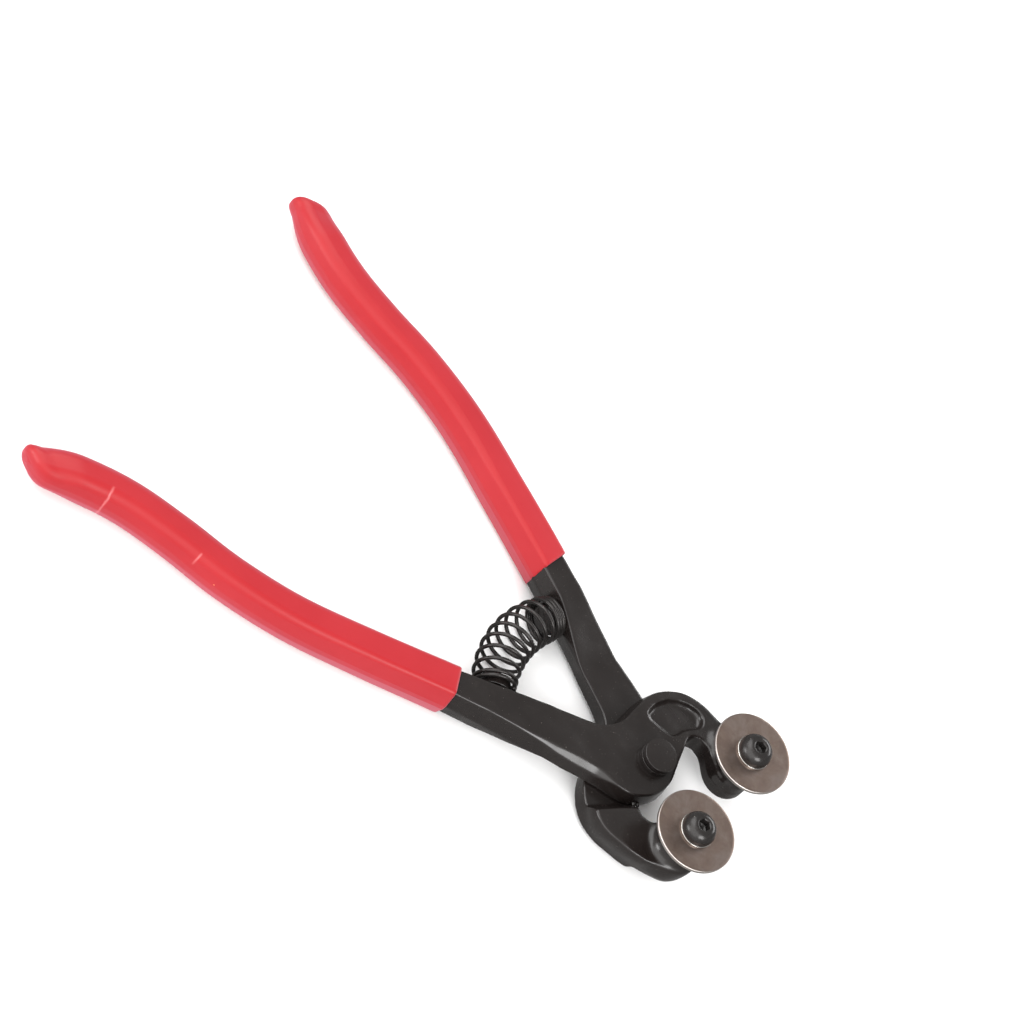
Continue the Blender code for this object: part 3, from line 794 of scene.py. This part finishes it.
def button_screw(side, y, turn, material):
    """A button head with a hexagonal socket, and its plain shank down through the wheel."""
    head = WHEEL_TOP + WASHER_THICK
    outer, height, rim = 4.6, 3.4, 0.5
    turns = full_turn(96)

    def circle(radius, z):
        return level_ring(radius, z, turns)

    def hexagon(across, z):
        local = (turns + math.pi / 6) % (math.pi / 3) - math.pi / 6
        return level_ring(across / 2 / np.cos(local), z, turns)

    rings = [circle(2.2, head - 9.0), circle(2.5, head - 8.6), circle(2.5, head)]
    rings += [circle(outer - 0.35, head), circle(outer - 0.08, head + 0.08)]
    rings += [circle(outer, head + 0.3), circle(outer, head + rim)]
    for angle in range(8, 68, 6):
        a = math.radians(angle)
        rise = math.sin(a) / math.sin(math.radians(64))
        radius = outer * (0.18 + 0.82 * math.cos(a) ** 0.9)
        rings.append(circle(radius, head + rim + (height - rim - 0.05) * rise))
    top = head + height
    rings += [circle(2.2, top - 0.02), circle(1.9, top), circle(1.8, top - 0.04)]
    mixed = 0.5 * circle(1.68, top - 0.12) + 0.5 * hexagon(2.95, top - 0.12)
    rings += [mixed, hexagon(2.9, top - 0.25), hexagon(2.86, top - 0.4), hexagon(2.86, top - 2.2)]
    rings += [circle(1.0, top - 2.5)]
    verts, faces = skin(rings)
    spin = Matrix.Rotation(math.radians(turn), 3, "Z")
    verts = verts @ np.array(spin).T * MM
    return new_object(
        side + "_button_screw", verts, faces, material, to_metres((WHEEL_X, y, 0)), 32,
    )


def rivet(material):
    """The head on top, its shank, and the set end on the back, which the tool rests on."""
    shank_r, set_r, set_top = 3.0, 4.4, -5.45
    head_r, head_low, head_top = 4.6, 7.0, 8.45
    corners = [(0.0, -JOINT_HEIGHT), (set_r, -JOINT_HEIGHT), (set_r, set_top), (shank_r, set_top)]
    corners += [(shank_r, head_low), (head_r, head_low), (head_r, head_top), (0.0, head_top)]
    profile = rounded(corners, 0.2, 5)
    profile = [(max(r, 0.02), z) for r, z in profile]
    return lathe("rivet_turned", profile, material, (0, 0, 0))


def rivet_ring(material):
    """The spacer between the front lever's boss and the rivet's head."""
    low, high = HALF_JOINT, 6.75
    corners = [(3.1, high), (4.65, high), (4.65, low), (3.1, low), (3.1, high)]
    profile = rounded(corners, 0.14, 5)[1:-1] + [(3.1, low), (3.1, high)]
    return lathe("rivet_ring", profile, material, (0, 0, 0), 128, True, 50)


# ---------------------------------------------------------------- spring and pegs

SEAT_ALONG = along_at_x(-40.5)


def seat(flip):
    """Where the spring meets a shank, and the way out of the shank there."""
    half_width = 5.35  # of the shank, to the ridge of its side
    place, way = line_frame(SEAT_ALONG)
    side = np.array([way[1], -way[0]])
    at = place + side * half_width
    return np.array([at[0], flip * at[1], 0.0]), np.array([side[0], flip * side[1], 0.0])


def peg(side, flip, material):
    """A collared peg: its root in the shank, and a round nose inside the spring's end turns."""
    at, way = seat(flip)
    corners = [(1.9, -3.0), (1.9, -0.4), (4.7, -0.4), (4.4, 0.35), (4.2, 2.4), (3.7, 3.4)]
    profile = rounded(corners + [(0.05, 3.6)], 0.35)
    turns = full_turn(96)
    up = np.array([0, 0, 1.0])
    circle = np.cos(turns)[:, None] * up + np.sin(turns)[:, None] * np.cross(way, up)
    verts, faces = skin([at + way * out + radius * circle for radius, out in profile])
    return new_object(side + "_spring_stud", to_metres(verts), faces, material, sharp=40)


def spring(material):
    """Wire wound round a bowed line between the pegs, with its end turns wound close."""
    start, out = seat(1)
    finish, back = seat(-1)
    lean = Matrix.Rotation(math.radians(5.5), 3, "Z")
    out = np.array(lean @ Vector(out))
    back = np.array(lean.inverted() @ Vector(back))
    first, last = start + out * 0.6, finish + back * 0.6
    reach = 11.5  # of the bowed line's handles, and so how far it bows
    t = np.linspace(0, 1, 400)[:, None]
    path = (1 - t) ** 3 * first + 3 * (1 - t) ** 2 * t * (first + out * reach)
    path = path + 3 * (1 - t) * t**2 * (last + back * reach) + t**3 * last
    far = np.concatenate([[0], np.cumsum(np.linalg.norm(np.diff(path, axis=0), axis=1))])

    wire_r, coil_r, end_coil_r = 0.52, 6.15, 5.3
    close_pitch, front_close, rear_close, turns_total = 1.1, 1.8, 2.8, 12.2
    free = turns_total - front_close - rear_close
    pitch = (far[-1] - close_pitch * (front_close + rear_close)) / free
    per_turn, around_wire, start_angle = 56, 14, 2.4
    turns = np.arange(int(turns_total * per_turn) + 1) / per_turn
    along = (
        np.minimum(turns, front_close) * close_pitch
        + np.clip(turns - front_close, 0, free) * pitch
        + np.maximum(turns - front_close - free, 0) * close_pitch
    )
    way = direction_on(path, far, along, 0.3)
    up = np.array([0, 0, 1.0])
    angle = 2 * math.pi * turns + start_angle
    radial = np.cos(angle)[:, None] * np.cross(up, way) + np.sin(angle)[:, None] * up
    barrel = np.sin(math.pi * np.clip(turns / turns_total, 0, 1)) ** 1.5
    radius = end_coil_r + (coil_r - end_coil_r) * barrel
    middle = point_on(path, far, along) + radius[:, None] * radial
    tangent = np.gradient(middle, axis=0)
    tangent /= np.linalg.norm(tangent, axis=1, keepdims=True)
    binormal = np.cross(tangent, radial)
    binormal /= np.linalg.norm(binormal, axis=1, keepdims=True)
    normal = np.cross(binormal, tangent)
    around = full_turn(around_wire)[:, None]
    rings = []
    for i in range(len(middle)):
        scale = wire_r * (0.75 if i in (0, len(middle) - 1) else 1.0)
        ring = normal[i] * np.cos(around) + binormal[i] * np.sin(around)
        rings.append(middle[i] + ring * scale)
    verts, faces = skin(rings)
    return new_object("coil_spring", to_metres(verts), faces, material)


# ---------------------------------------------------------------- stage

def area_light(name, place, target, size, power):
    light = bpy.data.lights.new(name, "AREA")
    light.shape = "RECTANGLE"
    light.size, light.size_y = size
    light.energy = power
    obj = bpy.data.objects.new(name, light)
    obj.location = Vector(place)
    obj.rotation_euler = (Vector(target) - Vector(place)).to_track_quat("-Z", "Y").to_euler()
    bpy.context.scene.collection.objects.link(obj)


def studio_world():
    """A soft white room: brighter in front of the tool, and dim below the level of the table."""
    world = bpy.data.worlds.new("studio")
    world.use_nodes = True
    tree = world.node_tree
    nodes, links = tree.nodes, tree.links
    at = nodes.new("ShaderNodeTexCoord").outputs["Generated"]
    towards = nodes.new("ShaderNodeVectorMath")
    towards.operation = "DOT_PRODUCT"
    links.new(at, towards.inputs[0])
    towards.inputs[1].default_value = (-0.32, -0.80, 0.50)
    split = nodes.new("ShaderNodeSeparateXYZ")
    links.new(at, split.inputs[0])
    values = []
    for source, low, high, dim, full in (
        (towards.outputs["Value"], -0.1, 0.95, 0.44, 1.15),
        (split.outputs[2], -0.12, 0.2, 0.85, 1.0),
    ):
        span = nodes.new("ShaderNodeMapRange")
        span.interpolation_type = "SMOOTHSTEP"
        links.new(source, span.inputs["Value"])
        limits = {"From Min": low, "From Max": high, "To Min": dim, "To Max": full}
        for key, value in limits.items():
            span.inputs[key].default_value = value
        values.append(span.outputs["Result"])
    product = nodes.new("ShaderNodeMath")
    product.operation = "MULTIPLY"
    links.new(values[0], product.inputs[0])
    links.new(values[1], product.inputs[1])
    background = nodes["Background"]
    background.inputs["Color"].default_value = (1.0, 0.985, 0.97, 1.0)
    links.new(product.outputs[0], background.inputs["Strength"])
    return world


def stage():
    half, level = 3.0, -0.0002
    corners = ((-half, -half), (half, -half), (half, half), (-half, half))
    verts = [(x, y, level) for x, y in corners]
    floor = new_object("floor", verts, [(0, 1, 2, 3)], floor_material())
    floor.visible_glossy = False  # the enamel's sides would mirror it as a pale sheet
    scene = bpy.context.scene
    scene.world = studio_world()
    scene.view_settings.view_transform = "Standard"
    scene.view_settings.look = "None"
    area_light("key", (-0.40, -0.75, 0.75), (-0.06, 0.0, 0.0), (1.5, 1.0), 7.0)
    area_light("overhead", (-0.85, 0.30, 1.10), (-0.06, 0.0, 0.0), (1.1, 1.1), 12.0)
    area_light("right", (0.77, -0.71, 0.84), (-0.02, 0.0, 0.0), (0.65, 0.55), 10.0)
    area_light("low_left", (-0.95, -0.70, 0.20), (-0.10, 0.0, 0.0), (0.5, 0.30), 4.0)
    area_light("back", (0.50, 0.95, 0.50), (-0.02, 0.0, 0.0), (0.8, 0.35), 6.0)


def camera():
    data = bpy.data.cameras.new("photo_view")
    data.sensor_width = 36.0
    data.lens = 122.1
    data.clip_start, data.clip_end = 0.05, 20.0
    obj = bpy.data.objects.new("photo_view", data)
    place = Vector(to_metres((-118.9147, -542.4535, 686.0224)))
    degrees = (29.73055, -28.13095, 34.46061)
    turn = Euler([math.radians(angle) for angle in degrees])
    obj.matrix_world = Matrix.LocRotScale(place, turn, None)
    bpy.context.scene.collection.objects.link(obj)
    bpy.context.scene.camera = obj


# ---------------------------------------------------------------- assembly

def stand_for(piece, node, body):
    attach(piece, body)
    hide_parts(node)


def build():
    enamel, steel, bright = black_enamel(), ground_steel(), zinc()
    oxide = black_oxide("black_oxide_look", 1.0, 0.25)
    wire = black_oxide("spring_wire_look", 1.3, 0.5)

    front = lever("front_lever_forging", front_field, (-60, -30, -7), (25, 26, 15), 1, enamel)
    stand_for(front, "front_lever", "front_body")
    rear = lever("rear_lever_forging", rear_field, (-60, -28, -7.4), (27, 32, 15), -1, enamel)
    stand_for(rear, "rear_lever", "rear_body")

    front_marks = []
    for middle, line_x, half in (((-144.3, -55.0), -143.5, 2.4), ((-118.7, -50.4), -118.0, 1.1)):
        _, way = line_frame(along_at_x(line_x))
        front_marks.append((middle, tuple(way), half))
    piece = grip("front_grip_sleeve", 1, 0.0, red_vinyl(front_marks))
    stand_for(piece, "front_grip", "front_body")
    piece = grip("rear_grip_sleeve", -1, 2.6, red_vinyl())
    stand_for(piece, "rear_grip", "rear_body")

    stand_for(rivet(enamel), "pivot_rivet", "rear_body")
    stand_for(rivet_ring(enamel), "pivot_washer", "rear_body")
    for side, flip, socket_turn in (("front", 1, 12), ("rear", -1, 40)):
        body, y = side + "_body", flip * WHEEL_Y
        piece = wheel(side, y, steel)
        stand_for(piece, side + "_cutting_wheel", side + "_wheel")
        stand_for(washer(side, y, bright), side + "_wheel_washer", body)
        piece = button_screw(side, y, socket_turn, oxide)
        stand_for(piece, side + "_wheel_screw", body)
        stand_for(peg(side, flip, enamel), side + "_spring_peg", body)

    coil = spring(wire)
    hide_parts("return_spring")
    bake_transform(coil)


build()
stage()
camera()
